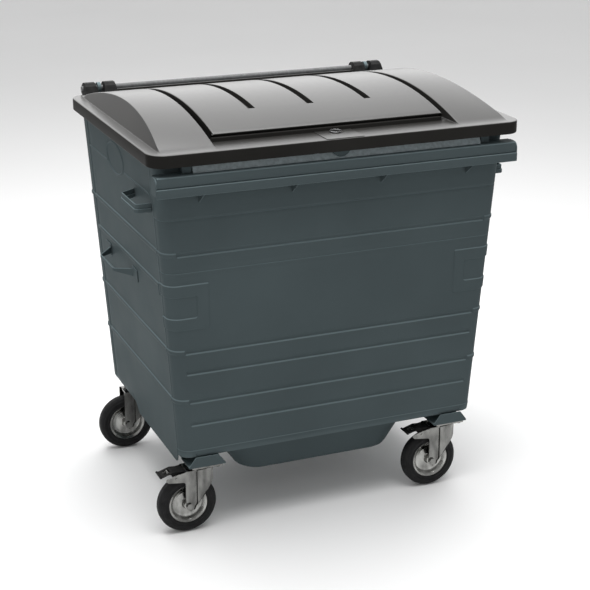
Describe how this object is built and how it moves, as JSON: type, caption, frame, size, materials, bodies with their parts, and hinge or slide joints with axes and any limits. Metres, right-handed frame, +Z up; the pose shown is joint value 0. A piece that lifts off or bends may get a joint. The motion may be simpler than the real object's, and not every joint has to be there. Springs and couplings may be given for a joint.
{
  "type": "four-wheeled waste container",
  "caption": "Steel waste container on four swivel castors, with a comb-lift rim, a domed hinged lid and a smaller flap in the lid",
  "frame": {"origin": "on the floor under the centre of the overall bounding box", "axes": "+X to the right seen from the front, +Y towards the lid hinge at the back, +Z up; the comb rim and lock face -Y"},
  "size_m": [1.28, 0.995, 1.374],
  "materials": {
    "body_paint": "satin slate-grey paint",
    "zinc": "zinc plated, slightly cloudy",
    "chrome": "bright",
    "dull_grey": "matt, fine grain",
    "pale_strip": "matt, coarse grain",
    "tyre": "black solid rubber",
    "black_plastic": "matt",
    "lid_plastic": "semi-gloss black moulding"
  },
  "bodies": {
    "container": {"front_panel": "body_paint", "rear_panel": "body_paint", "side_panel_left": "body_paint", "side_panel_right": "body_paint", "base_pan": "body_paint", "top_frame": "body_paint", "comb_rim": "body_paint", "rim_end_caps": "body_paint", "rim_gussets": "body_paint", "lid_rest": "pale_strip", "lid_stops": "body_paint", "lock_guard": "body_paint", "upper_handle_left": "body_paint", "upper_handle_right": "body_paint", "lower_handle_left": "body_paint", "lower_handle_right": "body_paint", "hinge_brackets": "body_paint", "hinge_rod": "dull_grey", "castor_mounts": "body_paint", "castor_bolts": "zinc", "castor_plate_fl": "zinc", "castor_plate_fr": "zinc", "castor_plate_rl": "zinc", "castor_plate_rr": "zinc"},
    "lid": {"lid_shell": "lid_plastic", "hinge_lugs": "black_plastic", "lock_plate": "lid_plastic", "flap_pins": "zinc"},
    "flap": {"flap_shell": "lid_plastic"},
    "lock": {"lock_barrel": "chrome", "lock_cam": "zinc"},
    "castor_fl": {"fork_fl": "zinc", "axle_fl": "zinc", "pedal_pin_fl": "zinc"},
    "wheel_fl": {"wheel_disc_fl": "zinc", "tyre_fl": "tyre"},
    "castor_fr": {"fork_fr": "zinc", "axle_fr": "zinc", "pedal_pin_fr": "zinc"},
    "wheel_fr": {"wheel_disc_fr": "zinc", "tyre_fr": "tyre"},
    "castor_rl": {"fork_rl": "zinc", "axle_rl": "zinc"},
    "wheel_rl": {"wheel_disc_rl": "zinc", "tyre_rl": "tyre"},
    "castor_rr": {"fork_rr": "zinc", "axle_rr": "zinc"},
    "wheel_rr": {"wheel_disc_rr": "zinc", "tyre_rr": "tyre"},
    "brake_fl": {"pedal_fl": "black_plastic", "pedal_cap_fl": "black_plastic"},
    "brake_fr": {"pedal_fr": "black_plastic", "pedal_cap_fr": "black_plastic"}
  },
  "joints": [
    {"name": "lid_hinge", "type": "hinge", "parent": "container", "child": "lid", "pos_m": [0, 0.4765, 1.319], "axis": [-1, 0, 0], "range_deg": [0, 175]},
    {"name": "flap_hinge", "type": "hinge", "parent": "lid", "child": "flap", "pos_m": [0, 0.3465, 1.314], "axis": [-1, 0, 0], "range_deg": [0, 100]},
    {"name": "lock_turn", "type": "hinge", "parent": "lid", "child": "lock", "pos_m": [0.002, -0.4115, 1.29], "axis": [0, 0, -1], "range_deg": [0, 90]},
    {"name": "castor_swivel_fl", "type": "hinge", "parent": "container", "child": "castor_fl", "pos_m": [-0.445, -0.3745, 0.221], "axis": [0, 0, 1], "continuous": true},
    {"name": "wheel_spin_fl", "type": "hinge", "parent": "castor_fl", "child": "wheel_fl", "pos_m": [-0.507, -0.3745, 0.1], "axis": [0, 1, 0], "continuous": true},
    {"name": "castor_swivel_fr", "type": "hinge", "parent": "container", "child": "castor_fr", "pos_m": [0.445, -0.3745, 0.221], "axis": [0, 0, 1], "continuous": true},
    {"name": "wheel_spin_fr", "type": "hinge", "parent": "castor_fr", "child": "wheel_fr", "pos_m": [0.383, -0.3745, 0.1], "axis": [0, 1, 0], "continuous": true},
    {"name": "castor_swivel_rl", "type": "hinge", "parent": "container", "child": "castor_rl", "pos_m": [-0.445, 0.3275, 0.221], "axis": [0, 0, 1], "continuous": true},
    {"name": "wheel_spin_rl", "type": "hinge", "parent": "castor_rl", "child": "wheel_rl", "pos_m": [-0.507, 0.3275, 0.1], "axis": [0, 1, 0], "continuous": true},
    {"name": "castor_swivel_rr", "type": "hinge", "parent": "container", "child": "castor_rr", "pos_m": [0.445, 0.3275, 0.221], "axis": [0, 0, 1], "continuous": true},
    {"name": "wheel_spin_rr", "type": "hinge", "parent": "castor_rr", "child": "wheel_rr", "pos_m": [0.383, 0.3275, 0.1], "axis": [0, 1, 0], "continuous": true},
    {"name": "brake_pedal_fl", "type": "hinge", "parent": "castor_fl", "child": "brake_fl", "pos_m": [-0.549, -0.3745, 0.205], "axis": [0, -1, 0], "range_deg": [0, 12]},
    {"name": "brake_pedal_fr", "type": "hinge", "parent": "castor_fr", "child": "brake_fr", "pos_m": [0.341, -0.3745, 0.205], "axis": [0, -1, 0], "range_deg": [0, 12]}
  ]
}
